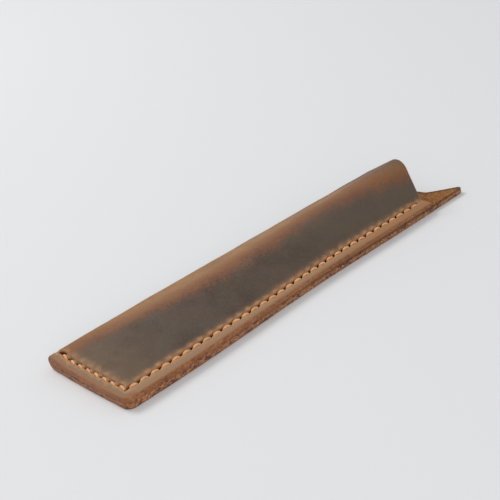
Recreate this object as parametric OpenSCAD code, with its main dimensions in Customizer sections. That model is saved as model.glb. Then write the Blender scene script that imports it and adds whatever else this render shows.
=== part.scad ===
// Leather sleeve for a single pen.
// One blank of thick leather is folded along its long side and saddle stitched
// along the closed short end and the open long side. The front layer stands up
// in an arch where the pen goes in, and the back layer runs on past the mouth
// as a pointed tongue beside the seam.
// Origin: centre of the overall width and length, on the back face. +Y points
// out of the mouth, +Z out of the front.

/* [Blank] */
// Thickness of the leather
leather_t = 2.1; // [1.8:0.1:2.6]
// Overall width, fold at the closed end to the outside of the tongue
body_w = 40.4; // [37:0.1:44]
// Overall length, closed end to the tip of the tongue
body_len = 157.1; // [140:1:180]
// Gap left between the two layers where they meet at the seam
layer_gap = 0.1; // [0.05:0.05:0.3]
// How far the long edge strays to each side of a straight line, cut by hand
edge_wave = 0.55; // [0:0.05:0.6]

/* [Mouth] */
// Distance from the tip of the tongue down to the line of the top edge, at the stitched edge
mouth_drop = 18.8; // [16:0.1:25]
// How far the top edge climbs for each millimetre across the blank
mouth_slope = 0.14; // [0.05:0.01:0.25]
// How far the seam corner of the front layer stands past the line of the top edge
mouth_hook = 0.65; // [0:0.05:1.2]
// Height of the front arch at the mouth, measured to the outside
arch_h = 16.9; // [14:0.1:20]
// Distance from the stitched edge to the crest of the arch at the mouth
arch_in = 13.5; // [11:0.1:16]
// How far the fold draws in from the closed end to the mouth
fold_draw = 6.2; // [4:0.1:7]
// Width across which the tongue flares up beside the seam
tongue_w = 9.3; // [6:0.1:12]
// Blunt width of the tongue tip
tip_w = 1.6; // [1:0.1:3]
// How far the tongue stands out past the middle line of the stitched edge
tongue_out = 0.6; // [0:0.1:1.5]

/* [Closed end] */
// Height over the fold at the closed end
fold_h = 5.5; // [5.2:0.1:6.5]
// How strongly the closed end is cut in a curve
end_bow = 1.4; // [0:0.1:4]
// Rounding of the seam corner
corner_r = 2.6; // [1:0.1:3]

/* [Stitching] */
// Distance between holes
pitch = 4; // [3.5:0.1:4.5]
// Distance from the middle line of the stitched edge to that of the long row of holes
side_margin = 3.55; // [3.2:0.05:4]
// How far the long row strays to each side of a straight line, marked by hand
row_wave = 0.4; // [0:0.05:0.4]
// Distance from the closed end to the short row of holes
end_margin = 3.3; // [3:0.05:4.5]
// Holes in the long row, the corner hole included
side_holes = 34; // [30:1:36]
// Stitches in the short row
end_stitches = 8; // [6:1:8]
// Length of each slanted hole
slit_len = 2.3; // [2:0.1:2.6]
// Width of each slanted hole, held open by the thread
slit_w = 1.1; // [1.1:0.05:1.3]
// Lean of the holes away from the line of their row
slit_lean = 21; // [10:1:30]
// Diameter of the waxed thread
thread_d = 0.8; // [0.6:0.05:0.9]
// Depth of the channel that sinks the thread into the back face
channel_depth = 0.9; // [0.8:0.05:1]

/* [Hidden] */
$fn = 32;

leather_colour = "#5a4a3e";
thread_colour = "#c98a58";

half_w = body_w / 2;
seam_edge = half_w - tongue_out;
half_len = body_len / 2;
half_t = leather_t / 2;
back_z = half_t;
front_z = leather_t + layer_gap + half_t;
front_top = front_z + half_t;

// Lengthwise places
end_y = -half_len;
bow_at = 0.15;
corner_start = end_y + end_bow * bow_at * bow_at;
bulge_start = 0.7;
bulge_y = end_y + end_margin + bulge_start;
mouth_y = half_len - mouth_drop;
arch_past_mouth = 0.8;
arch_y = mouth_y + arch_past_mouth;
past_arch = 1.06;
edge_wave_len = 112;
edge_peak_y = -54;
row_wave_len = 85;
row_peak_y = -28;

// The cross-section is a path down the middle of the leather: out along the
// front seam, up the flank, over the crest, down to the fold, round it and
// back along the flat back layer. Each value below goes from one number at
// the closed end to another at the mouth.
foot_in = [4.6, 4.3];
foot_r = [8, 2.6];
crest_x = [-11.3, seam_edge - arch_in + 0.3];
crest_z = [front_z + 0.15, arch_h + 0.3];
crest_move_bias = 0.6;
crest_rise_bias = 0.75;
crest_r = [24, 4.2];
bend_rise = 1.9;
bend_z = [fold_h - half_t, fold_h - half_t + bend_rise];
bend_r = [1.55, 4.6];
heel_r = [1.55, 2.4];
fold_draw_bias = 1.15;

// Shape of the top edge: width of the hook, and the straight share of the flare
mouth_hook_w = 2.5;
flare_straight = 0.75;

// Number of columns in each stretch of the path
seam_n = 2;
foot_n = 3;
flank_n = 3;
crest_n = 6;
shoulder_n = 3;
fold_n = 4;
back_n = 12;
back_bias = 1.5;
rows = 30;
row_bias = 0.13;

// Stitching
corner_rise = 0.3;
entry_shift = 0.46;
span_bend = thread_d * 0.4;
span_gap = 0.03;
squeeze_r = 0.24;
squeeze_gap = 0.27;
thread_sides = 6;
channel_w = thread_d * 1.8;
cut_past = 1;

function clamp(v, lo, hi) = min(max(v, lo), hi);
function mix(pair, f) = pair[0] + (pair[1] - pair[0]) * f;
function unit(v) = v / norm(v);
function turn(v, a) = [v[0] * cos(a) - v[1] * sin(a), v[0] * sin(a) + v[1] * cos(a)];
function outward(d) = [d[1], -d[0]];

function wave(y) = edge_wave * cos(360 * (y - edge_peak_y) / edge_wave_len);
function corner_cut(y) =
    let (d = corner_r + corner_start - y)
    d > 0 ? corner_r - sqrt(max(0, corner_r * corner_r - d * d)) : 0;
function swing(y) = let (f = clamp((y - mouth_y) / mouth_drop, 0, 1)) f * f * (3 - 2 * f);
function edge_x(y) = seam_edge + tongue_out * swing(y) + wave(y) * (1 - swing(y)) - corner_cut(y);
function share_of(y, start) = clamp((y - start) / (arch_y - start), 0, past_arch);
function bulge(y) = share_of(y, bulge_y);
function fold_x(y) = -half_w + fold_draw * pow(share_of(y, end_y), fold_draw_bias);

// Corner points of the path at a place along the length
function path_corners(y) =
    let (
        b = bulge(y),
        crest_at = mix(crest_x, pow(b, crest_move_bias)),
        x_fold = fold_x(y) + half_t
    )
    [
        [edge_x(y), front_z],
        [seam_edge - mix(foot_in, b), front_z],
        [crest_at, mix(crest_z, pow(b, crest_rise_bias))],
        [x_fold, mix(bend_z, b)],
        [x_fold, back_z],
        [edge_x(y), back_z]
    ];
function path_radii(y) =
    let (b = bulge(y))
    [mix(foot_r, b), mix(crest_r, b), mix(bend_r, b), mix(heel_r, b)];

// One rounded corner: where it starts, its centre, its turn and where it ends
function rounding(p, q, s, r) =
    let (
        back = unit(p - q),
        on = unit(s - q),
        bend = 180 - acos(clamp(back * on, -1, 1)),
        side = sign(back[1] * on[0] - back[0] * on[1]),
        reach = r * tan(bend / 2),
        start = q + back * reach
    )
    [start, start + turn(-back, 90 * side) * r, bend * side, q + on * reach];

function on_line(p, q, f) = let (d = unit(q - p)) [p + (q - p) * f, outward(d)];
function on_arc(arc, f) =
    let (
        v = turn(arc[0] - arc[1], arc[2] * f),
        s = sign(arc[2])
    )
    [arc[1] + v, unit(v) * s];

// Middle of the leather and its outward direction, one pair for each column
function section(y) =
    let (
        c = path_corners(y),
        r = path_radii(y),
        foot = rounding(c[0], c[1], c[2], r[0]),
        crest = rounding(c[1], c[2], c[3], r[1]),
        bend = rounding(c[2], c[3], c[4], r[2]),
        heel = rounding(c[3], c[4], c[5], r[3])
    )
    concat(
        [for (i = [0:seam_n - 1]) on_line(c[0], foot[0], i / seam_n)],
        [for (i = [0:foot_n - 1]) on_arc(foot, i / foot_n)],
        [for (i = [0:flank_n - 1]) on_line(foot[3], crest[0], i / flank_n)],
        [for (i = [0:crest_n - 1]) on_arc(crest, i / crest_n)],
        [for (i = [0:shoulder_n - 1]) on_line(crest[3], bend[0], i / shoulder_n)],
        [for (i = [0:fold_n - 1]) on_arc(bend, i / fold_n)],
        [on_line(bend[3], heel[0], 0)],
        [for (i = [0:fold_n - 1]) on_arc(heel, i / fold_n)],
        [for (i = [0:back_n]) on_line(heel[3], c[5], 1 - pow(1 - i / back_n, back_bias))]
    );

mouth_section = section(arch_y);
columns = len(mouth_section);
back_start = columns - back_n - 1;
fold_start = back_start - 2 * fold_n - 1;

// Distance across the flat blank from the front seam edge, at the mouth
function across(k) = k == 0 ? 0 : across(k - 1) + norm(mouth_section[k][0] - mouth_section[k - 1][0]);

function column_x(k) = mouth_section[k][0][0];
function end_of(x) = end_y + end_bow * pow(clamp((half_w - x) / body_w, 0, 1) - bow_at, 2);
function flare(x) =
    let (
        start = half_w - tongue_w,
        f = clamp((x - start) / (tongue_w - tip_w), 0, 1)
    )
    f * (flare_straight + (1 - flare_straight) * f);
function top_of(k) =
    let (
        straight = mouth_y + mouth_slope * across(k) + mouth_hook * exp(-across(k) / mouth_hook_w),
        rise = k < back_start ? 0 : flare(column_x(k))
    )
    straight + (half_len - straight) * rise;

// Rows run from the closed end to the top edge, closer together at both ends
function row_at(j) = let (f = j / rows) f - row_bias * sin(360 * f);

function leather_point(k, j, side) =
    let (
        x_end = section(corner_start + corner_r)[k][0][0],
        y0 = end_of(x_end),
        y = y0 + (top_of(k) - y0) * row_at(j),
        s = section(y)[k],
        p = s[0] + s[1] * half_t * side
    )
    [p[0], y, p[1]];

module leather_sheet() {
    n = columns;
    m = rows + 1;
    outside = [for (k = [0:n - 1]) for (j = [0:rows]) leather_point(k, j, 1)];
    inside = [for (k = [0:n - 1]) for (j = [0:rows]) leather_point(k, j, -1)];
    function o(k, j) = k * m + j;
    function i(k, j) = n * m + k * m + j;
    function strip(a, b, c, d) = [[a, c, b], [a, d, c]];
    skins = [
        for (k = [0:n - 2]) for (j = [0:rows - 1])
            each concat(
                strip(o(k, j), o(k, j + 1), o(k + 1, j + 1), o(k + 1, j)),
                strip(i(k, j), i(k + 1, j), i(k + 1, j + 1), i(k, j + 1))
            )
    ];
    ends = [
        for (k = [0:n - 2])
            each concat(
                strip(o(k, 0), o(k + 1, 0), i(k + 1, 0), i(k, 0)),
                strip(o(k, rows), i(k, rows), i(k + 1, rows), o(k + 1, rows))
            )
    ];
    sides = [
        for (j = [0:rows - 1])
            each concat(
                strip(o(0, j), i(0, j), i(0, j + 1), o(0, j + 1)),
                strip(o(n - 1, j), o(n - 1, j + 1), i(n - 1, j + 1), i(n - 1, j))
            )
    ];
    polyhedron(points = concat(outside, inside), faces = concat(skins, ends, sides));
}

// Holes: from the fold along the closed end to the corner, then up the side.
// Each has its place and the angle of its slit, turned from the +Y direction.
side_y = end_y + end_margin + corner_rise;
function side_x(y) = seam_edge - side_margin + row_wave * cos(360 * (y - row_peak_y) / row_wave_len);
function end_hole(x) = [x, end_of(x) + end_margin, slit_lean - 90];
function side_hole(y) = [side_x(y), y, slit_lean];
holes = concat(
    [for (k = [end_stitches:-1:1]) end_hole(side_x(side_y) - pitch * k)],
    [for (k = [0:side_holes - 1]) side_hole(side_y + pitch * k)]
);
hole_count = len(holes);
corner_hole = end_stitches;

// Outside height of the front layer above a point, and above a thread there
function front_at(x, y) =
    let (s = section(y))
    lookup(x, [for (k = [0:fold_start - 1]) s[k][0] + s[k][1] * half_t]);
function under_thread(x, y) = max([for (d = [-1:0.5:1]) front_at(x + d * thread_d / 2, y)]);

module hole_outline() {
    steps = 4;
    arc = [for (i = [0:steps]) [slit_w / 2 * sin(180 * i / steps), slit_len / 2 * cos(180 * i / steps)]];
    polygon(concat(arc, [for (i = [1:steps - 1]) -arc[i]]));
}

module awl_holes() {
    for (h = holes)
        translate([h[0], h[1], -cut_past])
            rotate([0, 0, h[2]])
                linear_extrude(height = fold_h + 3 * cut_past)
                    hole_outline();
}

// A channel in the back face along the holes, so that the thread lies no lower
// than the leather
function inward(h) = [h < corner_hole ? 0 : -1, h > corner_hole ? 0 : 1];
function run_on(h) = h == 0 ? [-1, 0] : h == hole_count - 1 ? [0, 1] : [0, 0];
function channel_point(h, side) =
    [holes[h][0], holes[h][1]] + (inward(h) * side + run_on(h)) * channel_w / 2;
module thread_channel() {
    inner = [for (h = [0:hole_count - 1]) channel_point(h, 1)];
    outer = [for (h = [hole_count - 1:-1:0]) channel_point(h, -1)];
    translate([0, 0, -cut_past])
        linear_extrude(height = channel_depth + cut_past)
            polygon(concat(inner, outer));
}

// One half of the thread, as [place, sideways direction, radius] along its way.
// The two halves take turns on the front and cross inside every hole.
function crossing(h, first) =
    let (
        row = row_side(min(h, hole_count - 2)),
        shift = first ? squeeze_gap : -squeeze_gap
    )
    [[holes[h][0], holes[h][1], front_top / 2] + row * shift, row, squeeze_r];
function row_side(h) =
    let (along = unit([holes[h + 1][0] - holes[h][0], holes[h + 1][1] - holes[h][1]]))
    [-along[1], along[0], 0];
function slit_way(h) = [-sin(holes[h][2]), cos(holes[h][2]), 0];
function span(h, over) =
    let (
        row = row_side(h),
        p = [holes[h][0], holes[h][1], 0] + slit_way(h) * entry_shift,
        q = [holes[h + 1][0], holes[h + 1][1], 0] - slit_way(h + 1) * entry_shift,
        run = unit(q - p) * span_bend,
        r = thread_d / 2,
        z_p = over ? under_thread(p[0], p[1]) + r + span_gap : channel_depth - r - span_gap,
        z_q = over ? under_thread(q[0], q[1]) + r + span_gap : channel_depth - r - span_gap,
        dip = over ? -thread_d : thread_d
    )
    [
        [p + [0, 0, z_p + dip], row, r],
        [p + run + [0, 0, z_p], row, r],
        [q - run + [0, 0, z_q], row, r],
        [q + [0, 0, z_q + dip], row, r]
    ];
function strand_path(first) = [
    for (h = [0:hole_count - 2])
        each concat([crossing(h, first)], span(h, (h % 2 == 0) == first)),
    crossing(hole_count - 1, first)
];

module strand(first) {
    path = strand_path(first);
    n = len(path);
    m = thread_sides;
    function ahead(i) = unit(path[min(i + 1, n - 1)][0] - path[max(i - 1, 0)][0]);
    function ring(i) =
        let (
            d = ahead(i),
            u = unit(path[i][1] - d * (d * path[i][1])),
            v = cross(d, u)
        )
        [for (s = [0:m - 1]) path[i][0] + path[i][2] * (u * cos(360 * s / m) + v * sin(360 * s / m))];
    function at(i, s) = i * m + s % m;
    walls = [
        for (i = [0:n - 2]) for (s = [0:m - 1])
            each [[at(i, s), at(i + 1, s), at(i + 1, s + 1)], [at(i, s), at(i + 1, s + 1), at(i, s + 1)]]
    ];
    caps = [[for (s = [0:m - 1]) at(0, s)], [for (s = [m - 1:-1:0]) at(n - 1, s)]];
    polyhedron(points = [for (i = [0:n - 1]) each ring(i)], faces = concat(walls, caps));
}

module leather_blank() {
    color(leather_colour)
        difference() {
            leather_sheet();
            awl_holes();
            thread_channel();
        }
}

module thread_first_needle() {
    color(thread_colour)
        strand(true);
}

module thread_second_needle() {
    color(thread_colour)
        strand(false);
}

leather_blank();
thread_first_needle();
thread_second_needle();
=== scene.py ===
# A slim leather pen sleeve: one thick blank folded along its length, saddle
# stitched along the closed end and the open long side. The leather's shape
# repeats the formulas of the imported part, with finer rows and columns, stitch
# dimples, slits and raw edges. Lengths are in millimetres until a mesh is made.
import math

import bpy
import numpy as np
from mathutils import Matrix, Vector


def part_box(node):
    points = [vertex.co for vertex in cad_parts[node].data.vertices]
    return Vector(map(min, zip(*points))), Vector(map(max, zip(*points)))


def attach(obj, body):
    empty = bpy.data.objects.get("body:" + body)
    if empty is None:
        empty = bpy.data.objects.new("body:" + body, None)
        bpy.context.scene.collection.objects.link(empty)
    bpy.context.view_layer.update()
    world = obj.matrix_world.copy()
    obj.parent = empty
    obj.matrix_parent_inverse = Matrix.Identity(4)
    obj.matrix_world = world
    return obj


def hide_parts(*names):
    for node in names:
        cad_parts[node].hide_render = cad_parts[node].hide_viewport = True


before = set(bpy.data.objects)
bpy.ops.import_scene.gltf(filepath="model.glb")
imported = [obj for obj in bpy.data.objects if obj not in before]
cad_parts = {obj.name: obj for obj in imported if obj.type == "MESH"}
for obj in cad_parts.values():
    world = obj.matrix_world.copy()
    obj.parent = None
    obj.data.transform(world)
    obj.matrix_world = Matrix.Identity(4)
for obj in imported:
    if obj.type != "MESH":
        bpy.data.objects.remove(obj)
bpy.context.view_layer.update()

MM = 0.001
NEEDLES = ("first", "second")

# ---------------------------------------------------------------- sizes
CAD_HIGH = np.array(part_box("leather_blank")[1]) / MM
HALF_W = CAD_HIGH[0]
HALF_LEN = CAD_HIGH[1]
BODY_W = 2 * HALF_W
ARCH_H = 16.9
LEATHER_T = 2.1
LAYER_GAP = 0.1
EDGE_WAVE = 0.55
EDGE_WAVE_LEN = 112
EDGE_PEAK_Y = -54
MOUTH_DROP = 18.8
MOUTH_SLOPE = 0.14
MOUTH_HOOK = 0.65
MOUTH_HOOK_W = 2.5
ARCH_IN = 13.5
FOLD_DRAW = 6.2
TONGUE_W = 9.3
TIP_W = 1.6
TONGUE_OUT = 0.6
FOLD_H = 5.5
END_BOW = 1.4
BOW_AT = 0.15
ARCH_PAST_MOUTH = 0.8
BULGE_START = 0.7
FLARE_STRAIGHT = 0.75

HALF_T = LEATHER_T / 2
SEAM_EDGE = HALF_W - TONGUE_OUT
BACK_Z = HALF_T
FRONT_Z = LEATHER_T + LAYER_GAP + HALF_T
FRONT_TOP = FRONT_Z + HALF_T
END_Y = -HALF_LEN
MOUTH_Y = HALF_LEN - MOUTH_DROP
ARCH_Y = MOUTH_Y + ARCH_PAST_MOUTH
END_MARGIN = 3.3
SIDE_MARGIN = 3.55
BULGE_Y = END_Y + END_MARGIN + BULGE_START

# Corner radii of the blank: seam corners, front layer at the mouth, tongue tip
SEAM_CORNER_R = 2.6
MOUTH_CORNER_R = 0.7
TIP_CORNER_R = 0.8

# Corners of the folded section and their radii, each at the closed end and at
# the mouth: the foot of the arch, its crest, the bend over the fold and the heel
FOOT_IN = (4.6, 4.3)
FOOT_R = (8, 2.6)
CREST_X = (-11.3, SEAM_EDGE - ARCH_IN + 0.3)
CREST_Z = (FRONT_Z + 0.15, ARCH_H + 0.3)
CREST_R = (24, 4.2)
BEND_RISE = 1.9
BEND_R = (1.55, 4.6)
HEEL_R = (1.55, 2.4)

# How soon each of them moves on the way to the mouth, and how far past it
CREST_MOVE_BIAS = 0.6
CREST_RISE_BIAS = 0.75
FOLD_DRAW_BIAS = 1.15
PAST_ARCH = 1.06

# Stitching. In a hole, both halves of the thread are squeezed thin, side by side
PITCH = 4.0
SIDE_HOLES = 34
END_STITCHES = 8
SLIT_LEAN = 21
ROW_WAVE = 0.4
ROW_WAVE_LEN = 85
ROW_PEAK_Y = -28
CORNER_RISE = 0.3
THREAD_R = 0.4
SQUEEZE_R = 0.24
SQUEEZE_GAP = 0.27
CHANNEL_DEPTH = 0.9


# ---------------------------------------------------------------- the folded section
def clamp(v, low, high):
    return np.minimum(np.maximum(v, low), high)


def smooth(v):
    """Holds a value between 0 and 1, with a soft start and end."""
    f = clamp(v, 0, 1)
    return f * f * (3 - 2 * f)


def mix(pair, f):
    """The value at a share of the way from the first of a pair to the second."""
    return pair[0] + (pair[1] - pair[0]) * f


def wave(y):
    """How far the hand-cut edge strays from its middle line."""
    return EDGE_WAVE * np.cos(2 * math.pi * (y - EDGE_PEAK_Y) / EDGE_WAVE_LEN)


def edge_x(y):
    """Where the seam edge of both layers runs, before its corners are rounded."""
    swing = smooth((y - MOUTH_Y) / MOUTH_DROP)
    return SEAM_EDGE + TONGUE_OUT * swing + wave(y) * (1 - swing)


def share_of(y, start):
    """How far y is on the way from a start to the arch: 1 there, and a little more past it."""
    return clamp((y - start) / (ARCH_Y - start), 0, PAST_ARCH)


def section_corners(y):
    """Corners (x + iz) and corner radii of the middle line of the leather at one y."""
    bulge = share_of(y, BULGE_Y)
    fold_x = -HALF_W + FOLD_DRAW * share_of(y, END_Y) ** FOLD_DRAW_BIAS + HALF_T
    crest_x = mix(CREST_X, bulge**CREST_MOVE_BIAS)
    crest_z = mix(CREST_Z, bulge**CREST_RISE_BIAS)
    bend_z = FOLD_H - HALF_T + BEND_RISE * bulge
    edge = edge_x(y)
    corners = [
        complex(edge, FRONT_Z),
        complex(SEAM_EDGE - mix(FOOT_IN, bulge), FRONT_Z),
        complex(crest_x, crest_z),
        complex(fold_x, bend_z),
        complex(fold_x, BACK_Z),
        complex(edge, BACK_Z),
    ]
    return corners, [mix(pair, bulge) for pair in (FOOT_R, CREST_R, BEND_R, HEEL_R)]


def section_line(y, arc_steps=24):
    """The middle line as points x + iz, outward normals and lengths along it."""
    corners, radii = section_corners(y)
    first = corners[1] - corners[0]
    points, normals = [corners[0]], [-1j * first / abs(first)]
    for p, q, s, radius in zip(corners, corners[1:], corners[2:], radii):
        back = (p - q) / abs(p - q)
        ahead = (s - q) / abs(s - q)
        bend = math.pi - math.acos(clamp((back * ahead.conjugate()).real, -1, 1))
        side = math.copysign(1, (back * ahead.conjugate()).imag)
        start = q + back * radius * math.tan(bend / 2)
        centre = start - back * 1j * side * radius
        for i in range(arc_steps + 1):
            spoke = (start - centre) * np.exp(1j * bend * side * i / arc_steps)
            points.append(centre + spoke)
            normals.append(side * spoke / abs(spoke))
    last = corners[-1] - corners[-2]
    points.append(corners[-1])
    normals.append(-1j * last / abs(last))
    points = np.array(points)
    along = np.concatenate([[0], np.cumsum(np.abs(np.diff(points)))])
    return points, np.array(normals), along


FLAT_W = section_line(ARCH_Y)[2][-1]
FLAT_L = MOUTH_Y - END_Y

# Within this distance of either seam edge, the blank lies the same in every section
SEAM_KEPT = 12.0

# The section is worked out once, at even steps along y and across the blank
TABLE_PAST = 1
TABLE_Y = np.linspace(END_Y - TABLE_PAST, HALF_LEN + TABLE_PAST, 320)
TABLE_A = np.linspace(0, FLAT_W, 520)


def value_at(at, along, values):
    """Complex values along a line, at other places on it."""
    return np.interp(at, along, values.real) + 1j * np.interp(at, along, values.imag)


def section_tables():
    """Middle line and normal for each y and each distance across the flat blank."""
    middle = np.empty((len(TABLE_Y), len(TABLE_A)), complex)
    normal = np.empty_like(middle)
    share = smooth((TABLE_A - SEAM_KEPT) / (FLAT_W - 2 * SEAM_KEPT))
    for row, y in enumerate(TABLE_Y):
        points, normals, along = section_line(y)
        at = TABLE_A + (along[-1] - FLAT_W) * share
        middle[row] = value_at(at, along, points)
        normal[row] = value_at(at, along, normals)
    return middle, normal / np.abs(normal)


MIDDLE, NORMAL = section_tables()


def cell(values, axis):
    """Which step of an axis each value lies in, and how far through it."""
    f = clamp((values - axis[0]) / (axis[1] - axis[0]), 0, len(axis) - 1.001)
    i = f.astype(int)
    return i, f - i


def look_up(table, y, a):
    """Value of a table at places y along and a across, by bilinear interpolation."""
    iy, fy = cell(y, TABLE_Y)
    ia, fa = cell(a, TABLE_A)
    low = table[iy, ia] * (1 - fa) + table[iy, ia + 1] * fa
    high = table[iy + 1, ia] * (1 - fa) + table[iy + 1, ia + 1] * fa
    return low * (1 - fy) + high * fy


# ---------------------------------------------------------------- the flat outline
def end_of(x):
    """y of the closed end, which bows a little, at one x."""
    return END_Y + END_BOW * (clamp((HALF_W - x) / BODY_W, 0, 1) - BOW_AT) ** 2


def closed_end(a):
    """y of the closed end at a distance across the blank."""
    return end_of(look_up(MIDDLE, np.full_like(a, END_Y + SEAM_CORNER_R), a).real)


def top_edge(a):
    """y of the top edge: the sloped mouth, and the flare to the tongue's tip."""
    straight = MOUTH_Y + MOUTH_SLOPE * a + MOUTH_HOOK * np.exp(-a / MOUTH_HOOK_W)
    x = look_up(MIDDLE, np.full_like(a, ARCH_Y), a).real
    f = clamp((x - (HALF_W - TONGUE_W)) / (TONGUE_W - TIP_W), 0, 1)
    flare = np.where(a > FLAT_W / 2, f * (FLARE_STRAIGHT + (1 - FLARE_STRAIGHT) * f), 0)
    return straight + (HALF_LEN - straight) * flare


def round_corner(u, v, radius):
    """Rounds the square corner at u = v = 0, and the rings inside it, each less."""
    ring = np.minimum(u, v)
    ring_r = radius - ring
    along = np.abs(u - v)
    near = along < ring_r
    angle = math.pi / 4 * (1 + along / np.where(near, ring_r, 1))
    far_side = radius - ring_r * np.cos(angle)
    near_side = radius - ring_r * np.sin(angle)
    wide = u > v
    rounded_u = np.where(wide, far_side, near_side)
    rounded_v = np.where(wide, near_side, far_side)
    return np.where(near, rounded_u, u), np.where(near, rounded_v, v)


def round_outline(a, v):
    """Flat coordinates with the four corners of the blank rounded."""
    a, v = round_corner(a, v, SEAM_CORNER_R)
    u, v = round_corner(FLAT_W - a, v, SEAM_CORNER_R)
    a, w = round_corner(FLAT_W - u, FLAT_L - v, MOUTH_CORNER_R)
    u, w = round_corner(FLAT_W - a, w, TIP_CORNER_R)
    return FLAT_W - u, FLAT_L - w


def leather_point(a, v, side):
    """Point and outward normal of the folded leather.

    a is the distance across the flat blank, v the distance from the closed end
    before it is stretched to the top edge, side 1 outside and -1 inside."""
    a, v = round_outline(a, v)
    start = closed_end(a)
    y = start + v + (top_edge(a) - start - FLAT_L) * (v / FLAT_L) ** 2
    middle = look_up(MIDDLE, y, a)
    normal = look_up(NORMAL, y, a)
    normal = normal / np.abs(normal)
    over_edge = np.maximum(-a, 0) + np.maximum(a - FLAT_W, 0)
    place = middle + normal * HALF_T * side + over_edge
    points = np.stack([place.real, y, place.imag], -1)
    outward = np.stack([normal.real, np.zeros_like(y), normal.imag], -1)
    return points, outward, a


# Share of the blank's width, from the front's seam edge, that holds all of the front
FRONT_SHARE = 0.6


def front_height(x, y):
    """Height of the front layer's outside at a place, before it is dimpled."""
    a = TABLE_A[TABLE_A < FLAT_W * FRONT_SHARE]
    ys = np.full_like(a, y)
    place = look_up(MIDDLE, ys, a) + look_up(NORMAL, ys, a) * HALF_T
    # Only the places where x falls steadily, so that heights can be read off it
    keep = np.maximum.accumulate(-place.real) <= -place.real + 1e-9
    return np.interp(-x, -place.real[keep], place.imag[keep])


# ---------------------------------------------------------------- stitch places
SIDE_Y = END_Y + END_MARGIN + CORNER_RISE


def side_x(y):
    """x of the long row of holes, which was marked by hand and strays a little."""
    stray = ROW_WAVE * np.cos(2 * math.pi * (y - ROW_PEAK_Y) / ROW_WAVE_LEN)
    return SEAM_EDGE - SIDE_MARGIN + stray


def stitch_holes():
    """Place and slit direction of each hole, from the fold round to the mouth."""
    side_y = SIDE_Y + PITCH * np.arange(SIDE_HOLES)
    end_x = side_x(SIDE_Y) - PITCH * np.arange(END_STITCHES, 0, -1)
    row = [(x, end_of(x) + END_MARGIN, SLIT_LEAN - 90) for x in end_x]
    side = [(side_x(y), y, SLIT_LEAN) for y in side_y]
    holes = np.array(row + side)
    angle = np.radians(holes[:, 2])
    return holes[:, :2], np.stack([-np.sin(angle), np.cos(angle)], -1)


# A stitch leaves its hole at the inner end of the slit and goes down at the
# outer end of the next one: distances along the row and towards the edge.
LEAVES = (1.2, 0.05)
ENTERS = (-0.8, 0.5)

HOLES, SLITS = stitch_holes()
ROW_WAY = np.diff(HOLES, axis=0) / np.linalg.norm(np.diff(HOLES, axis=0), axis=1)[:, None]
EDGE_WAY = np.stack([ROW_WAY[:, 1], -ROW_WAY[:, 0]], -1)
SPAN_START = HOLES[:-1] + ROW_WAY * LEAVES[0] + EDGE_WAY * LEAVES[1]
SPAN_END = HOLES[1:] + ROW_WAY * ENTERS[0] + EDGE_WAY * ENTERS[1]
ALONG = np.vstack([ROW_WAY, ROW_WAY[-1:]])
OUTWARD = np.vstack([EDGE_WAY, EDGE_WAY[-1:]])

# What shows of a slit is its inner end: how far it reaches and how wide it is
# open, in the side row and in the end row. The hole by the fold gapes, because
# the first stitch pulls on it alone, and the last one is filled by its stitch.
SIDE_PIT = (1.5, 0.46)
END_PIT = (1.1, 0.4)
FIRST_PIT = (1.6, 0.58)
LAST_PIT = (0.6, 0.3)
PIT_SIZES = np.tile(SIDE_PIT, (len(HOLES), 1))
PIT_SIZES[:END_STITCHES] = END_PIT
PIT_SIZES[0] = FIRST_PIT
PIT_SIZES[-1] = LAST_PIT
PIT_SHARPNESS = 1.6

# Places along the row and towards the edge: of what shows, from its hole, and of
# the paler lip that the slit lifts on its inner side, from what shows
PIT_PLACE = (0.46, -0.24)
LIP_PLACE = (0.5, -1.5)
LIP_REACH = 1.15
PITS = HOLES + ALONG * PIT_PLACE[0] + OUTWARD * PIT_PLACE[1]
LIPS = PITS + ALONG * LIP_PLACE[0] + OUTWARD * LIP_PLACE[1]

# The first slit lies further back, and the last one under its stitch
FIRST_PIT_BACK = (0.4, 0.1)
LAST_PIT_BACK = 0.7
PITS[0] -= ROW_WAY[0] * FIRST_PIT_BACK[0] + EDGE_WAY[0] * FIRST_PIT_BACK[1]
PITS[-1] -= ROW_WAY[-1] * LAST_PIT_BACK


def span_distance(xy):
    """Distance from each point to the nearest stitch, seen from above."""
    nearest = np.full(len(xy), np.inf)
    for p, q in zip(SPAN_START, SPAN_END):
        run = q - p
        f = clamp(((xy - p) @ run) / (run @ run), 0, 1)
        nearest = np.minimum(nearest, np.linalg.norm(xy - p - f[:, None] * run, axis=1))
    return nearest


def slit_depth(xy):
    """1 in the middle of a slit, falling to 0 outside it."""
    depth = np.zeros(len(xy))
    for pit, way, (reach, opened) in zip(PITS, SLITS, PIT_SIZES):
        off = xy - pit
        along = off @ way / reach
        across = (off[:, 0] * way[1] - off[:, 1] * way[0]) / opened
        depth = np.maximum(depth, np.exp(-((along**2 + across**2) ** PIT_SHARPNESS)))
    return depth


def lip_share(xy):
    """1 in the middle of the lip beside a slit, falling to 0 away from it."""
    nearest = np.min([np.linalg.norm(xy - lip, axis=1) for lip in LIPS], axis=0)
    return np.exp(-((nearest / LIP_REACH) ** 2))


# ---------------------------------------------------------------- leather mesh
# The cut edge, from outside to inside: inset of each ring from the true edge, and
# height in the leather, where 1 is the outside and -1 the inside
WALL = (
    (0.24, 0.95),
    (0.09, 0.82),
    (0.01, 0.62),
    (0.0, 0.35),
    (0.02, 0.05),
    (0.0, -0.25),
    (0.0, -0.6),
    (0.0, -0.9),
    (0.03, -1.03),
)

# Where the two skins start, and how many bands of the edge still show the grain
OUTER_INSET = 0.5
INNER_INSET = 0.3
GRAIN_LEVELS = 2

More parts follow.
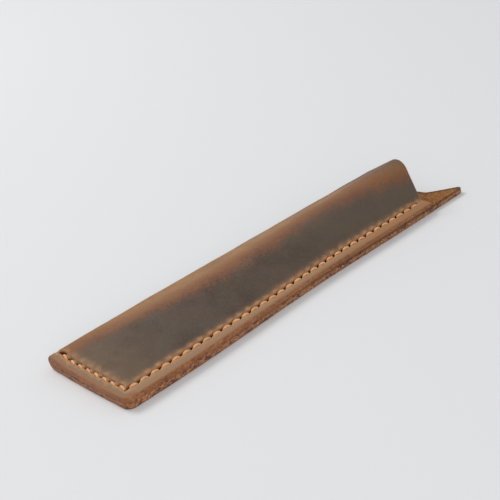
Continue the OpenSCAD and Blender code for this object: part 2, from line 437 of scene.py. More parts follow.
# Dimple under each stitch, swell beside it, slit, and channel on the back
DIMPLE_DEPTH = 0.3
DIMPLE_W = 0.6
PUFF_H = 0.1
PUFF_AT = 1.5
PUFF_W = 0.8
SLIT_PIT = 1.7
GROOVE_DEPTH = 0.74
GROOVE_W = 0.74
GROOVE_SQUARENESS = 6

# Unevenness of the front, away from the seam: height, size and seed of each noise
SWAY = ((0.09, 9, 3), (0.03, 3.1, 4))
SWAY_FROM = 6
SWAY_EASE = 4

# Nap of the inside, loose near the mouth only
FUZZ = ((0.05, 1.3, 5), (0.03, 0.6, 6))
FUZZ_BEFORE_MOUTH = 12
FUZZ_EASE = 8

# Raggedness of the cut edge: height, stretch through the leather, size and seed
RAGGED = ((0.06, 2.0, 1.4, 11), (0.05, 3.0, 0.7, 12))
RAGGED_V = 3

# The seam presses the layers together over this much of the closed end
PRESSED = 2
PRESSED_EASE = 6
PRESSED_DEPTH = 0.9

# A noise repeats after this many features, and starts this many in
NOISE_CELLS = 256
NOISE_START = 17

# What the materials read at each point, and its value where a part has none
NO_SEAM = 9.0
FACTS = {
    "slit": 0.0,
    "lip": 0.0,
    "seam": NO_SEAM,
    "flat_a": 0.0,
    "flat_v": 0.0,
    "rim": 0.0,
    "depth": 0.0,
}

# Places of the leather's materials
GRAIN, FLESH, CUT_EDGE = range(3)


def spaced(stops):
    """Positions from a list of (end, step): each stretch has even steps near its own step."""
    places = [0.0]
    for end, step in stops:
        count = max(1, round((end - places[-1]) / step))
        places += list(np.linspace(places[-1], end, count + 1)[1:])
    return np.array(places)


# Places of the columns across the blank and of the rows along it, closer together
# by the seam
COLUMNS = spaced(
    [
        (0.75, 0.75),
        (1.9, 0.38),
        (5.6, 0.2),
        (9, 0.5),
        (FLAT_W * 0.44, 1.05),
        (FLAT_W * 0.58, 0.62),
        (FLAT_W - 9, 1.15),
        (FLAT_W - 5.8, 0.6),
        (FLAT_W - 0.55, 0.34),
        (FLAT_W, 0.55),
    ]
)
ROWS = spaced(
    [
        (0.75, 0.75),
        (1.9, 0.38),
        (5.6, 0.2),
        (FLAT_L - 2, 0.36),
        (FLAT_L - 0.75, 0.42),
        (FLAT_L, 0.75),
    ]
)


def value_noise(a, v, size, seed):
    """Smooth noise from -1 to 1 over the flat blank, with features of one size."""
    lattice = np.random.default_rng(seed).uniform(-1, 1, (NOISE_CELLS, NOISE_CELLS))
    fa, fv = a / size + NOISE_START, v / size + NOISE_START
    ia, iv = np.floor(fa).astype(int), np.floor(fv).astype(int)
    ta, tv = smooth(fa - ia), smooth(fv - iv)

    def at(i, j):
        return lattice[(ia + i) % NOISE_CELLS, (iv + j) % NOISE_CELLS]

    low = at(0, 0) * (1 - ta) + at(1, 0) * ta
    high = at(0, 1) * (1 - ta) + at(1, 1) * ta
    return low * (1 - tv) + high * tv


def layered_noise(a, v, layers):
    """Sum of noises, each given as its height, size and seed."""
    return sum(height * value_noise(a, v, size, seed) for height, size, seed in layers)


def inset_grid(inset):
    """Flat coordinates of every row and column, with the outermost ones moved in."""
    a, v = COLUMNS.copy(), ROWS.copy()
    a[0], a[-1] = inset, FLAT_W - inset
    v[0], v[-1] = inset, FLAT_L - inset
    return np.meshgrid(a, v, indexing="ij")


def border(grid):
    """The values of a grid along its edge, once round, starting at its first corner."""
    return np.concatenate([grid[:-1, 0], grid[-1, :-1], grid[:0:-1, -1], grid[0, :0:-1]])


def front_relief(a, v, flat_a, distance):
    """How far the front stands out: swell and dimple by the stitches, and its sway."""
    dimple = DIMPLE_DEPTH * np.exp(-((distance / DIMPLE_W) ** 2))
    puff = PUFF_H * np.exp(-(((distance - PUFF_AT) / PUFF_W) ** 2))
    flank = smooth((flat_a - SWAY_FROM) / SWAY_EASE)
    return puff - dimple + layered_noise(a, v, SWAY) * flank


def back_relief(distance):
    """How far the back stands out: a channel runs under its stitches."""
    return -GROOVE_DEPTH / (1 + (distance / GROOVE_W) ** GROOVE_SQUARENESS)


def outside_skin():
    """Points of the grain side, and what the materials read there."""
    a, v = inset_grid(OUTER_INSET)
    points, outward, flat_a = leather_point(a, v, 1)
    front = flat_a < FLAT_W / 2
    # On the front, distances are measured across the leather and not over its rise
    x, y = points[..., 0], points[..., 1]
    flat_x = np.where(front, edge_x(y) - flat_a, x)
    xy = np.stack([flat_x, y], -1).reshape(-1, 2)
    distance = span_distance(xy).reshape(a.shape)
    slit = slit_depth(xy).reshape(a.shape)
    inside_rows = np.minimum(side_x(y) - flat_x, y - end_of(x) - END_MARGIN)
    relief = np.where(front, front_relief(a, v, flat_a, distance), back_relief(distance))
    points = points + outward * (relief - SLIT_PIT * slit)[..., None]
    return points, {
        "slit": slit,
        "lip": lip_share(xy).reshape(a.shape) * front,
        "seam": np.where(front, inside_rows, NO_SEAM),
        "flat_a": flat_a,
        "flat_v": v,
        "depth": 1.0,
    }


def press_layers(points, flat_a, height):
    """Closes the wedge between the layers where the seam presses on the closed end."""
    near_end = 1 - smooth((points[..., 1] - END_Y - PRESSED) / PRESSED_EASE)
    meeting = LEATHER_T + LAYER_GAP + HALF_T * max(height + 1, 0)
    above = np.where(flat_a < FLAT_W / 2, np.maximum(points[..., 2] - meeting, 0), 0)
    points[..., 2] -= above * near_end * smooth(-height / PRESSED_DEPTH)
    return points


def inside_skin():
    """Points of the flesh side, and what the materials read there."""
    a, v = inset_grid(INNER_INSET)
    points, outward, flat_a = leather_point(a, v, -1)
    points = press_layers(points, flat_a, -1)
    loose = smooth((points[..., 1] - MOUTH_Y + FUZZ_BEFORE_MOUTH) / FUZZ_EASE)
    fuzz = np.minimum(layered_noise(a, v, FUZZ), 0) * loose
    rim = np.minimum(FLAT_W - a, FLAT_L - v)
    facts = {"flat_a": flat_a, "flat_v": v, "rim": rim, "depth": -1.0}
    return points - outward * fuzz[..., None], facts


def edge_stray(a, v, height):
    """How far each place on the cut edge is moved in, least at its two corners."""
    way_round = a + RAGGED_V * v
    level = np.full_like(a, height)
    strays = [
        rise * value_noise(way_round, level * stretch, size, seed)
        for rise, stretch, size, seed in RAGGED
    ]
    return sum(strays) * (1 - abs(height) ** 3)


def shift_border(a, v, inset, shift):
    """Moves border points in or out by an amount at each point."""
    a = np.where(a <= inset, a + shift, np.where(a >= FLAT_W - inset, a - shift, a))
    v = np.where(v <= inset, v + shift, np.where(v >= FLAT_L - inset, v - shift, v))
    return a, v


def raw_edge():
    """Rings of points round the edge, from the outside skin to the inside skin."""
    rings = []
    for inset, height in WALL:
        a, v = (border(grid) for grid in inset_grid(inset))
        moved = shift_border(a, v, inset, edge_stray(a, v, height))
        points, _, flat_a = leather_point(*moved, height)
        facts = {"seam": -SIDE_MARGIN, "flat_a": flat_a, "flat_v": v, "depth": height}
        rings.append((press_layers(points, flat_a, height), facts))
    return rings


def grid_faces(numbers):
    """Faces between the points of a grid."""
    corners = [numbers[:-1, :-1], numbers[:-1, 1:], numbers[1:, 1:], numbers[1:, :-1]]
    return np.stack([corner.ravel() for corner in corners], -1)


def band_faces(upper, lower):
    """Faces between one loop of points and the next."""
    return np.stack([upper, np.roll(upper, -1), np.roll(lower, -1), lower], -1)


def leather_faces(shape):
    """Faces of the leather, and the place of each one's material."""
    count = shape[0] * shape[1]
    numbers = np.arange(count).reshape(shape)
    skin_border = border(numbers)
    around = len(skin_border)
    ring_starts = 2 * count + around * np.arange(len(WALL))
    rings = [start + np.arange(around) for start in ring_starts]
    loops = [skin_border, *rings, count + skin_border]
    bands = [band_faces(upper, lower) for upper, lower in zip(loops, loops[1:])]
    parts = [
        grid_faces(numbers),
        np.concatenate(bands[:GRAIN_LEVELS]),
        grid_faces(numbers + count)[:, ::-1],
        np.concatenate(bands[GRAIN_LEVELS:]),
    ]
    kinds = np.repeat([GRAIN, GRAIN, FLESH, CUT_EDGE], [len(part) for part in parts])
    return np.concatenate(parts), kinds


def joined_facts(parts):
    """What the materials read at every point, in the order of the parts."""
    joined = {}
    for name, absent in FACTS.items():
        values = [
            np.broadcast_to(facts.get(name, absent), points.shape[:-1]).ravel()
            for points, facts in parts
        ]
        joined[name] = np.concatenate(values)
    return joined


def leather_mesh():
    """Points, faces, kinds of face and attributes of the leather."""
    parts = [outside_skin(), inside_skin(), *raw_edge()]
    points = np.concatenate([part_points.reshape(-1, 3) for part_points, _ in parts])
    faces, kinds = leather_faces((len(COLUMNS), len(ROWS)))
    return points, faces, kinds, joined_facts(parts)


def mesh_object(name, points, faces, materials, kinds=None, attributes=None):
    """A smooth mesh piece, from points in millimetres and a list of faces."""
    mesh = bpy.data.meshes.new(name)
    mesh.from_pydata((points * MM).tolist(), [], faces)
    for material in materials:
        mesh.materials.append(material)
    if kinds is not None:
        mesh.polygons.foreach_set("material_index", kinds.astype(np.int32))
    for key, values in (attributes or {}).items():
        attribute = mesh.attributes.new(key, "FLOAT", "POINT")
        attribute.data.foreach_set("value", values.astype(np.float32))
    mesh.shade_smooth()
    mesh.validate()
    mesh.update()
    obj = bpy.data.objects.new(name, mesh)
    bpy.context.scene.collection.objects.link(obj)
    return obj


# ---------------------------------------------------------------- thread
THREAD_SIDES = 14
THREAD_STEP = 0.15
THREAD_CAP = 0.05
PLY_COUNT = 3
PLY_RIDGE = 0.07
PLY_MIDDLE = 1.3
PLY_PITCH = 2.6
CORNER_CUT = 0.25
FIRST_SEED = 21
SECOND_SEED = 22

# A stitch on the front: how far it sinks in, how its crown rises and swells, how
# plump it may be, how far it may sway and where it comes down from its hole
THREAD_SINK = 0.46
CROWN_RISE = 0.06
CROWN_SHARE = 1.04
PLUMP = (0.96, 1.05)
STITCH_SWAY = 0.05
SHOULDER = 0.45

# Its way through the leather: distance past the stitch's end, depth and radius
# as a share
NECK_PAST = 0.1
NECK_DEPTH = 0.35
NECK_SHARE = 0.9
ROOT_PAST = 0.25
ROOT_DEPTH = 1.1
ROOT_SHARE = 0.7

# Half a stitch in the channel on the back: distance in from its end, height over
# its middle, and radius as a share
BACK_HALF = ((0, 0.6, 0.75), (0.2, 0.12, 0.88), (0.8, 0, 0.92))
BACK_MIDDLE_SHARE = 0.95
CHANNEL_SLACK = 0.02


def front_stitch(p, q, run, chance):
    """Place, height and radius of each control point of a stitch on the front."""
    plump = THREAD_R * chance.uniform(*PLUMP)
    sway = np.array([-run[1], run[0]]) * chance.uniform(-STITCH_SWAY, STITCH_SWAY)
    start, middle, end = (front_height(*spot) for spot in (p, (p + q) / 2, q))
    neck, root = plump * NECK_SHARE, THREAD_R * ROOT_SHARE
    crown_z = middle + plump - THREAD_SINK + CROWN_RISE
    return [
        (p - run * ROOT_PAST, start - ROOT_DEPTH, root),
        (p - run * NECK_PAST, start - NECK_DEPTH, neck),
        (p + run * SHOULDER + sway, start + plump - THREAD_SINK, plump),
        ((p + q) / 2 + sway, crown_z, plump * CROWN_SHARE),
        (q - run * SHOULDER + sway, end + plump - THREAD_SINK, plump),
        (q + run * NECK_PAST, end - NECK_DEPTH, neck),
        (q + run * NECK_PAST, end - ROOT_DEPTH, root),
    ]


def back_stitch(p, q, run):
    """Place, height and radius of each control point of a stitch on the back."""
    low = CHANNEL_DEPTH - THREAD_R + CHANNEL_SLACK
    start = [(p + run * way, low + rise, THREAD_R * share) for way, rise, share in BACK_HALF]
    end = [(q - run * way, low + rise, THREAD_R * share) for way, rise, share in BACK_HALF]
    middle = ((p + q) / 2, low, THREAD_R * BACK_MIDDLE_SHARE)
    return [*start, middle, *reversed(end)]


def strand_line(first):
    """Rows of x, y, z and radius along the whole way of one half of the thread."""
    chance = np.random.default_rng(FIRST_SEED if first else SECOND_SEED)
    aside = -SQUEEZE_GAP if first else SQUEEZE_GAP
    squeezed = [(xy, FRONT_TOP / 2, SQUEEZE_R) for xy in HOLES + OUTWARD * aside]
    line = []
    for h, (p, q) in enumerate(zip(SPAN_START, SPAN_END)):
        run = (q - p) / np.linalg.norm(q - p)
        on_front = (h % 2 == 0) == first
        stitch = front_stitch(p, q, run, chance) if on_front else back_stitch(p, q, run)
        line += [squeezed[h], *stitch]
    line.append(squeezed[-1])
    return np.array([(*xy, z, radius) for xy, z, radius in line])


def cut_corners(values, times=3):
    """Smooths a line of control values by cutting its corners again and again."""
    for _ in range(times):
        near = values[:-1] * (1 - CORNER_CUT) + values[1:] * CORNER_CUT
        far = values[:-1] * CORNER_CUT + values[1:] * (1 - CORNER_CUT)
        cut = np.stack([near, far], 1).reshape(-1, values.shape[1])
        values = np.concatenate([values[:1], cut, values[-1:]])
    return values


def even_steps(line):
    """The line at even steps along it, and the distance along it of each."""
    lengths = np.linalg.norm(np.diff(line[:, :3], axis=0), axis=1)
    along = np.concatenate([[0], np.cumsum(lengths)])
    at = np.linspace(0, along[-1], int(along[-1] / THREAD_STEP))
    return np.stack([np.interp(at, along, column) for column in line.T], -1), at


def carried_frame(centre):
    """Directions ahead, aside and up, carried along a line without turning round it."""
    ahead = np.gradient(centre, axis=0)
    ahead /= np.linalg.norm(ahead, axis=1)[:, None]
    side = np.empty_like(centre)
    side[0] = np.cross(ahead[0], [0, 0, 1.0])
    side[0] /= np.linalg.norm(side[0])
    for i in range(1, len(centre)):
        side[i] = side[i - 1] - ahead[i] * (side[i - 1] @ ahead[i])
        side[i] /= np.linalg.norm(side[i])
    return ahead, side, np.cross(ahead, side)


def tube_faces(count):
    """Faces of a tube with a number of rings, and a fan on a point beyond each end."""
    numbers = np.arange(count * THREAD_SIDES).reshape(count, THREAD_SIDES)
    over = np.roll(numbers, -1, axis=1)
    walls = np.stack([numbers[:-1], over[:-1], over[1:], numbers[1:]], -1).reshape(-1, 4)
    start, end = numbers.size, numbers.size + 1
    start_fan = [(start, after, here) for here, after in zip(numbers[0], over[0])]
    end_fan = [(end, here, after) for here, after in zip(numbers[-1], over[-1])]
    return walls.tolist() + start_fan + end_fan


def strand_mesh(first):
    """A tube of twisted plies along the strand, with closed ends."""
    line, at = even_steps(cut_corners(strand_line(first)))
    centre, radius = line[:, :3], line[:, 3]
    ahead, side, up = carried_frame(centre)
    angle = np.linspace(0, 2 * math.pi, THREAD_SIDES, endpoint=False)
    twist = 2 * math.pi * at / PLY_PITCH
    ridge = np.abs(np.cos(PLY_COUNT * (angle[None] - twist[:, None]) / 2))
    reach = radius[:, None] * (1 + PLY_RIDGE * (ridge * 2 - PLY_MIDDLE))
    aside, upward = np.cos(angle)[None, :, None], np.sin(angle)[None, :, None]
    spokes = side[:, None] * aside + up[:, None] * upward
    rings = centre[:, None] + spokes * reach[..., None]
    caps = [centre[0] - ahead[0] * THREAD_CAP, centre[-1] + ahead[-1] * THREAD_CAP]
    points = np.concatenate([rings.reshape(-1, 3), caps])
    # How deep each point lies between the plies, for the painted shade there
    groove_shade = np.append((1 - ridge).ravel(), [1, 1])
    return points, tube_faces(len(centre)), {"groove_shade": groove_shade}


# ---------------------------------------------------------------- colours, as displayed
GRAIN_DARK = "#483c34"
GRAIN_LIGHT = "#584b40"
GRAIN_BY_END = "#6f5a45"
GRAIN_MOUTH_PAINTED_LIGHT = "#5f5347"
GRAIN_MOTTLE = "#6a5444"
GRAIN_PORE = "#2a211c"
CREST_RED = "#825135"
CREST_TAN_HIGHLIGHT = "#a5794d"
CREST_CLOUD = "#8c6242"
CREST_SPECKLE = "#6f4c33"
MARGIN_SIDE = "#a08264"
MARGIN_BY_MOUTH = "#aa7d57"
MARGIN_BY_END = "#8b745b"
MARGIN_BY_ROW = "#be8c5e"
MARGIN_RIM = "#a0643f"
SLIT_FIBRE_AND_SHADE = "#451d0c"
FLESH_DARK = "#74492a"
FLESH_LIGHT = "#8e5f38"
FLESH_NAP = "#bd8850"
FLESH_SPECK = "#3d2515"
FLESH_TIP_SHADE = "#3a2a18"
FLESH_RIM = "#3a2416"
FLESH_SHEEN = "#c89060"
EDGE_DARK = "#844f2e"
EDGE_LIGHT = "#98623c"
EDGE_BY_MOUTH = "#8a5a2c"
EDGE_FLECK = "#cd9570"
EDGE_TUFT = "#52301d"
EDGE_GAP_SHADE = "#422716"
EDGE_FRONT_RIM = "#a87750"
EDGE_BACK_RIM_SHADE = "#5c3622"
THREAD_DARK = "#d69865"
THREAD_LIGHT = "#f0b684"
THREAD_FIBRE = "#f6caa0"
THREAD_PLY_SHADE = "#7d4526"
FLOOR_COLOUR = (0.8, 0.805, 0.82, 1)


# ---------------------------------------------------------------- materials
def linear(hex_colour):
    """A linear RGBA colour from a display colour such as "#584e44"."""
    channels = [int(hex_colour[i : i + 2], 16) / 255 for i in (1, 3, 5)]
    return (*(c / 12.92 if c <= 0.04045 else ((c + 0.055) / 1.055) ** 2.4 for c in channels), 1)


class Shader:
    """Builds one material's nodes.

    A value given to a node is a number, a display colour or another node's output."""

    def __init__(self, name):
        self.material = bpy.data.materials.new(name)
        self.material.use_nodes = True
        self.tree = self.material.node_tree
        self.tree.nodes.clear()
        self.place = self.add("ShaderNodeTexCoord").outputs["Object"]

    def add(self, kind, settings=None, **inputs):
        """A new node. Its inputs are given by name, or by number as in i0."""
        node = self.tree.nodes.new(kind)
        for key, value in (settings or {}).items():
            setattr(node, key, value)
        for key, value in inputs.items():
            name = int(key[1:]) if key[0] == "i" and key[1:].isdigit() else key.replace("_", " ")
            self.set(node.inputs[name], value)
        return node

    def set(self, socket, value):
        if isinstance(value, bpy.types.NodeSocket):
            self.tree.links.new(value, socket)
        elif isinstance(value, str):
            socket.default_value = linear(value)
        else:
            socket.default_value = value

    def attribute(self, name):
        return self.add("ShaderNodeAttribute", {"attribute_name": name}).outputs["Fac"]

    def stretched(self, x, y, z):
        """The place, with each axis scaled."""
        node = self.add("ShaderNodeMapping", Vector=self.place, Scale=(x, y, z))
        return node.outputs["Vector"]

    def noise(self, size, detail=3.0, rough=0.55, place=None):
        """Noise from 0 to 1 with features of a size in millimetres."""
        node = self.add(
            "ShaderNodeTexNoise",
            Vector=place or self.place,
            Scale=1 / (size * MM),
            Detail=detail,
            Roughness=rough,
        )
        return node.outputs["Fac"]

    def cells(self, size, place=None):
        """Distance from the edge of cells of a size in millimetres."""
        node = self.add(
            "ShaderNodeTexVoronoi",
            {"feature": "DISTANCE_TO_EDGE"},
            Vector=place or self.place,
            Scale=1 / (size * MM),
        )
        return node.outputs["Distance"]

    def math(self, operation, a, b=0.0, c=0.0):
        return self.add("ShaderNodeMath", {"operation": operation}, i0=a, i1=b, i2=c).outputs[0]

    def times(self, a, b):
        return self.math("MULTIPLY", a, b)

    def centred(self, noise, width):
        """Noise brought to a range that is centred on zero and has a width in millimetres."""
        ranges = {"i1": 0.25, "i2": 0.75, "i3": -width / 2, "i4": width / 2}
        return self.add("ShaderNodeMapRange", i0=noise, **ranges).outputs[0]

    def shifted(self, value, *shifts):
        """The sum of a value and its shifts."""
        for shift in shifts:
            value = self.math("ADD", value, shift)
        return value

    def spread(self, value, low, high, to_low=0.0, to_high=1.0):
        """Brings values between low and high to another range, smoothly, and holds them in it."""
        settings = {"interpolation_type": "SMOOTHSTEP"}
        ranges = {"i1": low, "i2": high, "i3": to_low, "i4": to_high}
        return self.add("ShaderNodeMapRange", settings, i0=value, **ranges).outputs[0]

    def blend(self, share, under, over):
        """One colour over another, by a share of it."""
        settings = {"data_type": "RGBA", "blend_type": "MIX"}
        return self.add("ShaderNodeMix", settings, i0=share, i6=under, i7=over).outputs[2]

    def bump(self, height, depth, under=None):
        """A bump whose full height is a depth in millimetres."""
        node = self.add("ShaderNodeBump", Height=height, Distance=depth * MM, Strength=1.0)
        if under:
            self.set(node.inputs["Normal"], under)
        return node.outputs["Normal"]

    def finish(self, **inputs):
        surface = self.add("ShaderNodeBsdfPrincipled", **inputs)
        output = self.add("ShaderNodeOutputMaterial")
        self.tree.links.new(surface.outputs["BSDF"], output.inputs["Surface"])
        return self.material


def ground_colour(s, cloud, mottle):
    """The dark wax, olive near the closed end, and lighter towards the mouth as painted light
    that lifts the steep flank out of shade.
    """
    flat_v = s.attribute("flat_v")
    base = s.blend(s.spread(cloud, 0.35, 0.68), GRAIN_DARK, GRAIN_LIGHT)
    base = s.blend(s.times(s.spread(flat_v, 30.0, 2.0), 0.8), base, GRAIN_BY_END)
    # Painted light: the steep flank by the mouth, which the lamps leave in shade, is lightened
    base = s.blend(s.spread(flat_v, 50.0, 135.0, 0.0, 0.8), base, GRAIN_MOUTH_PAINTED_LIGHT)
    return s.blend(s.spread(mottle, 0.35, 0.75, 0.0, 0.35), base, GRAIN_MOTTLE)


def crest_pullup_and_highlight(s, base, cloud, patch, mottle):
    """Pull-up colour over the crest, partly a painted highlight where the crest faces the light,
    redder where it starts and fading by the mouth.
    """
    speckle = s.noise(0.75, 2, 0.5)
    strays = (s.centred(patch, 2.2), s.centred(mottle, 2.0), s.centred(speckle, 4.0))
    drift = s.shifted(s.attribute("band"), *strays)
    band = s.times(s.spread(drift, -3.2, 3.2), s.spread(drift, 25.0, 15.0))
    mouth = s.times(s.spread(s.attribute("flat_v"), 105.0, 138.0), s.spread(drift, 2.0, 8.0))
    band = s.times(band, s.math("MULTIPLY_ADD", mouth, -0.75, 1.0))
    # Lighter and tan towards the band's core: pull-up colour, partly a painted highlight on the
    # lit crest
    colour = s.blend(s.spread(drift, 0.0, 10.0), CREST_RED, CREST_TAN_HIGHLIGHT)
    colour = s.blend(s.spread(cloud, 0.4, 0.62, 0.0, 0.5), colour, CREST_CLOUD)
    colour = s.blend(s.spread(speckle, 0.5, 0.72, 0.0, 0.4), colour, CREST_SPECKLE)
    return s.blend(s.times(band, 0.95), base, colour)


def margin_colour(s, blurred, at_end):
    """Tan outside the stitches, darker at its rim."""
    outer = s.blend(s.spread(s.attribute("flat_v"), 70.0, 138.0), MARGIN_SIDE, MARGIN_BY_MOUTH)
    outer = s.blend(at_end, outer, MARGIN_BY_END)
    margin = s.blend(s.spread(blurred, -2.2, -0.8), outer, MARGIN_BY_ROW)
    rim = s.times(s.spread(blurred, -2.3, -3.4), s.math("MULTIPLY_ADD", at_end, 0.45, 0.3))
    return s.blend(rim, margin, MARGIN_RIM)


def seam_colour(s, base, patch, mottle, fine):
    """Tan margin and halo along the stitches, strongest at the lip of each slit."""
    flat_v, seam = s.attribute("flat_v"), s.attribute("seam")
    strays = (s.centred(mottle, 1.4), s.centred(patch, 1.2), s.centred(fine, 0.6))
    blurred = s.shifted(seam, *strays)
    halo = s.times(s.spread(blurred, 4.0, 0.0), s.spread(fine, 0.2, 0.6, 0.8, 1.0))
    halo = s.math("MINIMUM", halo, s.spread(blurred, 1.2, -0.4, 0.8, 0.95))
    lip = s.spread(s.attribute("lip"), 0.0, 0.9, 0.55, 1.15)
    lifted = s.times(lip, s.spread(flat_v, 4.0, 10.0, 0.6, 1.0))
    halo = s.times(halo, s.math("MAXIMUM", s.spread(seam, 0.9, 0.2), lifted))
    at_end = s.spread(flat_v, 4.8, 2.2)
    return s.blend(halo, base, margin_colour(s, blurred, at_end))


def grain_material():
    """Waxed pull-up leather: dark, and lighter and redder where it is bent or stitched, with a
    painted highlight on the crest, painted shade in the slits and painted light towards the
    mouth.
    """
    s = Shader("leather_grain")
    cloud = s.noise(14, 3, 0.6)
    patch = s.noise(4.5, 4, 0.6)
    mottle = s.noise(1.1, 4, 0.65)
    fine = s.noise(0.35, 3, 0.6)
    colour = ground_colour(s, cloud, mottle)
    colour = crest_pullup_and_highlight(s, colour, cloud, patch, mottle)
    colour = seam_colour(s, colour, patch, mottle, fine)
    colour = s.blend(s.spread(fine, 0.62, 0.78, 0.0, 0.25), colour, GRAIN_PORE)
    # Painted shade in each slit, over the red-brown of its cut fibres
    colour = s.blend(s.spread(s.attribute("slit"), 0.15, 0.55), colour, SLIT_FIBRE_AND_SHADE)
    pores = s.spread(s.cells(0.42), 0.0, 0.16)
    creases = s.spread(s.cells(1.7, s.stretched(1, 0.7, 1)), 0.0, 0.1)
    normal = s.bump(s.noise(3.2, 3), 0.1)
    normal = s.bump(creases, 0.03, normal)
    normal = s.bump(pores, 0.02, normal)
    normal = s.bump(fine, 0.02, normal)
    rough = s.spread(patch, 0.3, 0.7, 0.5, 0.66)
    return s.finish(Base_Color=colour, Roughness=rough, Normal=normal, Specular_IOR_Level=0.25)


def flesh_material():
    """The suede inside of the leather, with a short nap, dark specks and painted shade by its top
    edge.
    """
    s = Shader("leather_flesh")
    patch = s.noise(3.0, 4, 0.6)
    nap = s.noise(0.5, 4, 0.7)
    specks = s.spread(s.noise(0.8, 3, 0.7), 0.51, 0.62)
    # Painted shade: the inside darkens within about 2 mm of the top edge, at the mouth and the
    # tongue's tip
    tip_shade = s.spread(s.attribute("flat_v"), FLAT_L - 2.2, FLAT_L - 0.4, 0.0, 0.6)
    ragged = s.shifted(s.attribute("rim"), s.centred(nap, 0.5))
    colour = s.blend(s.spread(patch, 0.3, 0.7), FLESH_DARK, FLESH_LIGHT)
    colour = s.blend(s.spread(nap, 0.35, 0.65, 0.0, 0.7), colour, FLESH_NAP)
    colour = s.blend(s.times(specks, 0.75), colour, FLESH_SPECK)
    colour = s.blend(tip_shade, colour, FLESH_TIP_SHADE)
    colour = s.blend(s.spread(ragged, 0.9, 0.2, 0.0, 0.75), colour, FLESH_RIM)
    normal = s.bump(nap, 0.3)
    normal = s.bump(s.noise(0.18, 2), 0.06, normal)
    return s.finish(
        Base_Color=colour,
        Roughness=0.95,
        Normal=normal,
        Specular_IOR_Level=0.1,
        Sheen_Weight=0.2,
        Sheen_Roughness=0.6,
        Sheen_Tint=FLESH_SHEEN,
    )


def edge_material():
    """The raw cut edge: compressed fibres, with painted shade as a dark line between the layers
    by the mouth and along the back layer's bottom rim.
    """
    s = Shader("leather_edge")
    depth, flat_v = s.attribute("depth"), s.attribute("flat_v")
    fibre = s.noise(0.55, 4, 0.7, s.stretched(1, 0.6, 1.6))
    tuft = s.noise(1.4, 4, 0.65, s.stretched(1, 0.55, 1))
    patch = s.noise(7, 3, 0.5)
    # The back layer's edge is rougher than the front layer's, which was burnished, and its rim by
    # the floor carries painted contact shade
    back = s.spread(s.attribute("flat_a"), 20.0, 60.0)
    to_mouth = s.spread(flat_v, 20.0, 110.0)
    smooth_end = s.spread(flat_v, 1.6, 0.4, 1.0, 0.45)
    base = s.blend(s.spread(patch, 0.3, 0.7), EDGE_DARK, EDGE_LIGHT)
    base = s.blend(s.times(to_mouth, 0.6), base, EDGE_BY_MOUTH)
    flecks = s.times(s.spread(fibre, 0.45, 0.66), s.math("MULTIPLY_ADD", back, 0.55, 0.4))
    base = s.blend(s.times(flecks, smooth_end), base, EDGE_FLECK)
    tufts = s.times(s.spread(tuft, 0.52, 0.4), s.math("MULTIPLY_ADD", back, 0.45, 0.35))
    base = s.blend(tufts, base, EDGE_TUFT)
    # Painted shade of the gap between the layers, on the inner side of each layer's edge,
    # strongest by the mouth
    gap_shade = s.spread(depth, -0.3, -0.95)
    gap_shade = s.times(gap_shade, s.math("MULTIPLY_ADD", to_mouth, 0.6, 0.1))
    base = s.blend(gap_shade, base, EDGE_GAP_SHADE)
    # The back layer's bottom rim, by the floor: partly denser fibres, partly painted contact
    # shade
    rim = s.blend(back, EDGE_FRONT_RIM, EDGE_BACK_RIM_SHADE)
    colour = s.blend(s.spread(depth, 0.35, 0.85, 0.0, 0.65), base, rim)
    normal = s.bump(tuft, 0.22)
    normal = s.bump(fibre, 0.14, normal)
    return s.finish(
        Base_Color=colour,
        Roughness=0.82,
        Normal=normal,
        Specular_IOR_Level=0.25,
        Sheen_Weight=0.12,
    )


def thread_material():
    """Waxed twisted thread, tan, with painted shade between its plies."""
    s = Shader("waxed_thread")
    tone = s.noise(2.2, 3, 0.6)
    fibre = s.noise(0.22, 3, 0.6)
    colour = s.blend(s.spread(tone, 0.3, 0.7), THREAD_DARK, THREAD_LIGHT)
    colour = s.blend(s.spread(fibre, 0.4, 0.75, 0.0, 0.35), colour, THREAD_FIBRE)
    # Painted shade between the plies
    colour = s.blend(s.spread(s.attribute("groove_shade"), 0.45, 1.0, 0.0, 0.6), colour, THREAD_PLY_SHADE)
    return s.finish(
        Base_Color=colour,
        Roughness=0.55,
        Normal=s.bump(fibre, 0.04),
        Specular_IOR_Level=0.35,
        Sheen_Weight=0.15,
    )


def floor_material():
    s = Shader("pale_floor")
    return s.finish(Base_Color=FLOOR_COLOUR, Roughness=0.7, Specular_IOR_Level=0.2)


# ---------------------------------------------------------------- pieces
# Where the crest's pull-up colour, partly a painted highlight, starts: distance
# from the closed end, and distance across from the seam edge
BAND_V = (0, 10, 20, 40, 55, 80, 100, 120, 133, 140)
BAND_A = (33, 32, 29, 22.6, 20, 18.3, 19.5, 17, 14.5, 13.5)


def make_leather():
    points, faces, kinds, attributes = leather_mesh()
    attributes["band"] = attributes["flat_a"] - np.interp(attributes["flat_v"], BAND_V, BAND_A)
    materials = [grain_material(), flesh_material(), edge_material()]
    leather = mesh_object("leather", points, faces.tolist(), materials, kinds, attributes)
    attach(leather, "root")
    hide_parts("leather_blank")
    return leather


def make_thread(needle, material):
    points, faces, attributes = strand_mesh(needle == "first")
    name = f"thread_{needle}"
    thread = mesh_object(name, points, faces, [material], attributes=attributes)
    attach(thread, "root")
    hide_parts(f"thread_{needle}_needle")
    return thread


leather = make_leather()
waxed = thread_material()
threads = [make_thread(needle, waxed) for needle in NEEDLES]


# ---------------------------------------------------------------- stage, light and camera
FLOOR_REACH = 4000
FLOOR_DROP = 0.02
WORLD_COLOUR = (0.97, 0.985, 1.0, 1)
WORLD_STRENGTH = 0.55

# Name, place, diameter, power and colour of each light, which points at the origin.
# Places here and of the camera are in metres
LIGHTS = (
    ("window", (-0.75, -0.1, 0.9), 0.6, 5.6, (1.0, 0.99, 0.97)),
    ("fill", (0.8, -0.7, 0.45), 0.9, 4.5, (1.0, 0.98, 0.95)),
)

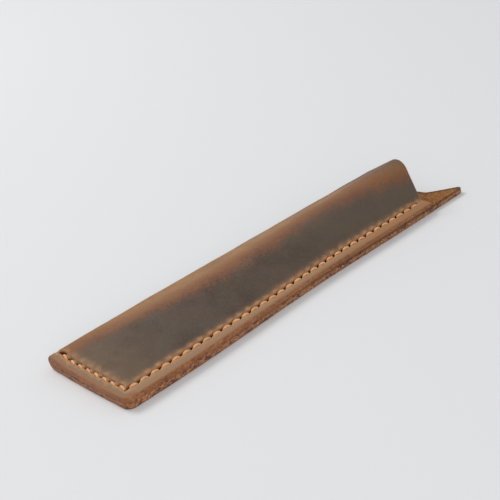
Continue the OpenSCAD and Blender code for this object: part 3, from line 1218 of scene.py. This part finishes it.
# The camera's direction from the sleeve, its turn about its own axis, its place,
# its lens and the nearest that it sees
CAMERA_AZIMUTH = 49.688
CAMERA_ELEVATION = 26.155
CAMERA_ROLL = -10.379
CAMERA_PLACE = (0.234447, -0.207167, 0.163710)
CAMERA_LENS = 76.54
CAMERA_NEAR = 0.01


def make_floor():
    corners = np.array([(-1, -1, 0), (1, -1, 0), (1, 1, 0), (-1, 1, 0)]) * FLOOR_REACH
    lowered = corners - (0, 0, FLOOR_DROP)
    floor = mesh_object("floor", lowered, [(0, 1, 2, 3)], [floor_material()])


def make_light(name, place, size, power, colour):
    light = bpy.data.lights.new(name, "AREA")
    light.shape = "DISK"
    light.size = size
    light.energy = power
    light.color = colour
    obj = bpy.data.objects.new(name, light)
    obj.location = place
    obj.rotation_euler = (-Vector(place)).to_track_quat("-Z", "Y").to_euler()
    bpy.context.scene.collection.objects.link(obj)


def make_world():
    world = bpy.data.worlds.new("studio")
    world.use_nodes = True
    background = world.node_tree.nodes["Background"]
    background.inputs["Color"].default_value = WORLD_COLOUR
    background.inputs["Strength"].default_value = WORLD_STRENGTH
    bpy.context.scene.world = world


def camera_turn():
    """The camera's rotation, from its azimuth, elevation and roll."""
    azimuth = math.radians(CAMERA_AZIMUTH)
    elevation = math.radians(CAMERA_ELEVATION)
    roll = math.radians(CAMERA_ROLL)
    flat_reach = math.cos(elevation)
    back = Vector(
        (
            math.sin(azimuth) * flat_reach,
            -math.cos(azimuth) * flat_reach,
            math.sin(elevation),
        )
    )
    level = Vector((math.cos(azimuth), math.sin(azimuth), 0))
    upright = back.cross(level)
    right = level * math.cos(roll) + upright * math.sin(roll)
    up = upright * math.cos(roll) - level * math.sin(roll)
    return Matrix((right, up, back)).transposed().to_4x4()


def make_camera():
    data = bpy.data.cameras.new("camera")
    data.lens = CAMERA_LENS
    data.clip_start = CAMERA_NEAR
    camera = bpy.data.objects.new("camera", data)
    camera.matrix_world = Matrix.Translation(CAMERA_PLACE) @ camera_turn()
    bpy.context.scene.collection.objects.link(camera)
    bpy.context.scene.camera = camera


make_floor()
make_world()
for light_values in LIGHTS:
    make_light(*light_values)
make_camera()
bpy.context.scene.view_settings.view_transform = "Standard"
